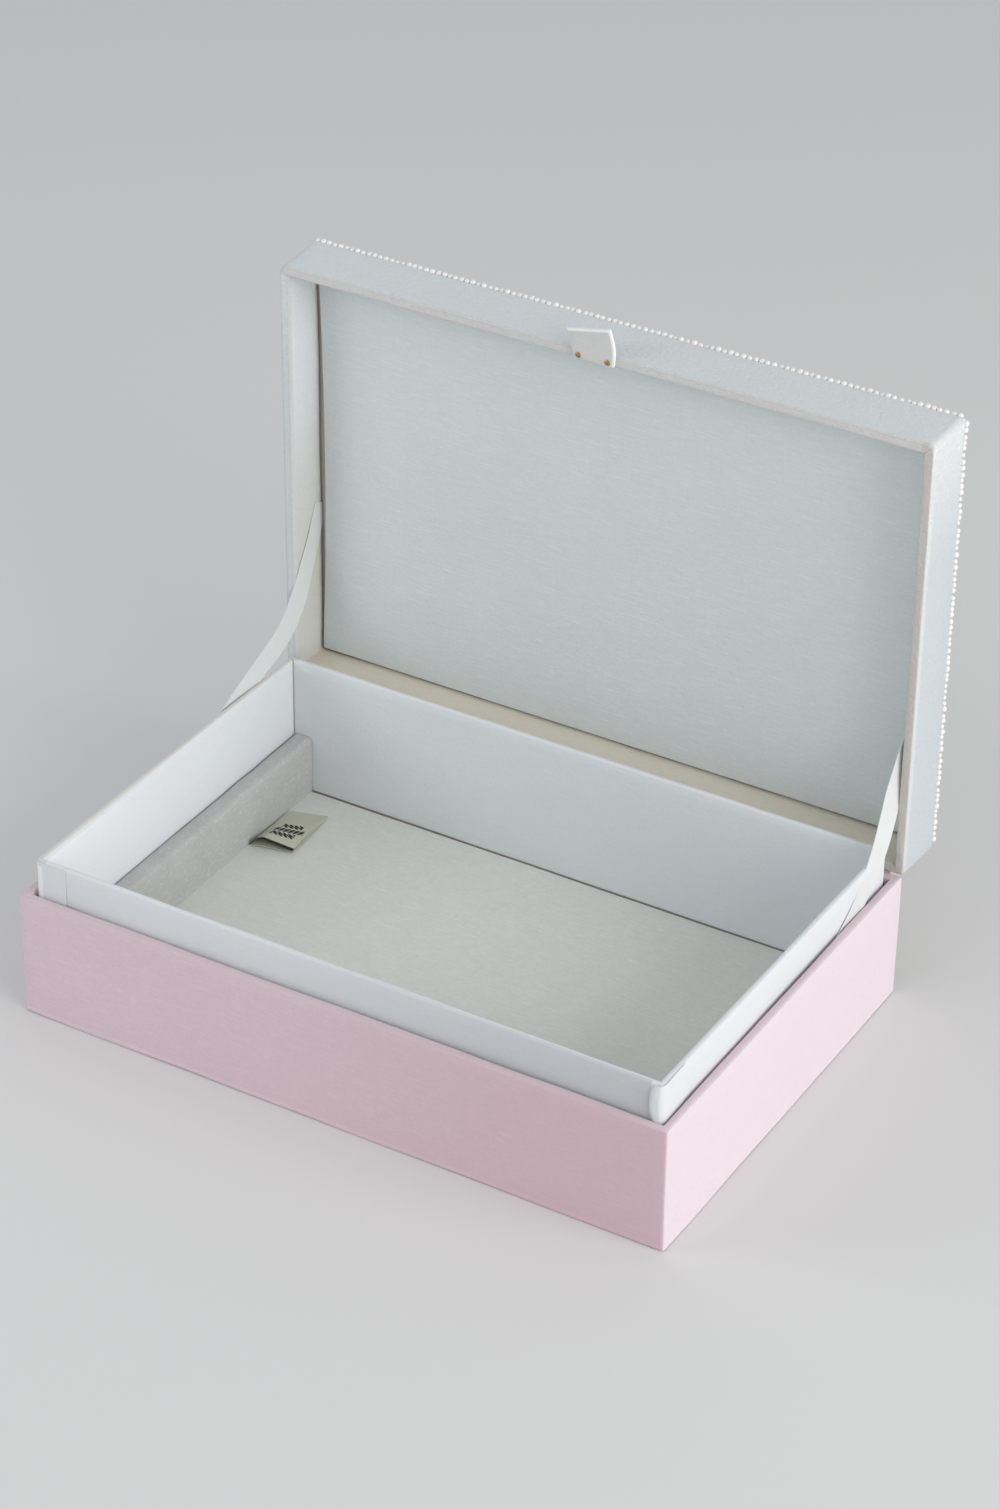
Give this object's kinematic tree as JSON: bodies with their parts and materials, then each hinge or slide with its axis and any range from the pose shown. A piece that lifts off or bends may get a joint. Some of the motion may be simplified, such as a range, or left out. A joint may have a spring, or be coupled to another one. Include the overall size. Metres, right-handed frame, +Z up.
{
  "type": "jewelry box",
  "caption": "Cloth-covered jewelry box with a raised white liner neck and a hinged, padded, bead-topped lid on two satin ribbon stays.",
  "frame": {"origin": "centre of the flat underside of the base, on the surface that the box stands on", "axes": "+X to the right along the box's long side, +Y from the front to the hinged back, +Z up; the lid is stored open at 90 degrees"},
  "size_m": [0.256, 0.1965, 0.2302],
  "materials": {
    "pink_cloth": "fine plain-weave silk-look cloth",
    "neck_cloth": "smooth white cloth",
    "floor_cloth": "cream slubbed silk-look cloth",
    "ledge_cloth": "warm grey-white brushed cloth",
    "lid_cloth": "white slubbed silk cloth",
    "lining_cloth": "white silk-look cloth with cross slubs",
    "pearl": "pearl lustre",
    "ribbon_satin": "satin",
    "label_cotton": "woven cotton",
    "tab_cloth": "smooth white cloth over card",
    "hinge_cloth": "plain white cloth",
    "brass": "polished",
    "board": "plain grey board",
    "wadding": "polyester wadding",
    "underside_paper": "matt paper"
  },
  "bodies": {
    "base": {"base_underside_sheet": "underside_paper", "base_bottom_board": "board", "base_front_board": "board", "base_back_board": "board", "base_left_board": "board", "base_right_board": "board", "base_cover_cloth": "pink_cloth", "neck_front_board": "board", "neck_back_board": "board", "neck_left_board": "board", "neck_right_board": "board", "neck_cover_cloth": "neck_cloth", "floor_board": "board", "floor_cover_cloth": "floor_cloth", "ledge_core": "board", "ledge_cover_cloth": "ledge_cloth", "woven_label": "label_cotton", "ribbon_left": "ribbon_satin", "ribbon_right": "ribbon_satin", "hinge_cloth_lower": "hinge_cloth"},
    "lid": {"hinge_cloth_upper": "hinge_cloth", "lid_top_board": "board", "lid_front_board": "board", "lid_back_board": "board", "lid_left_board": "board", "lid_right_board": "board", "lid_cover_cloth": "lid_cloth", "lid_top_wadding": "wadding", "pearl_beads": "pearl", "lid_lining_board": "board", "lid_lining_wadding": "wadding", "lid_lining_cloth": "lining_cloth", "lift_tab": "tab_cloth", "tab_pin_left": "brass", "tab_pin_right": "brass"}
  },
  "joints": [
    {"name": "lid_hinge", "type": "hinge", "parent": "base", "child": "lid", "pos_m": [0, 0.085, 0.0492], "axis": [-1, 0, 0], "range_deg": [-89.3, 8], "deforming": ["ribbon_left", "ribbon_right"]}
  ]
}
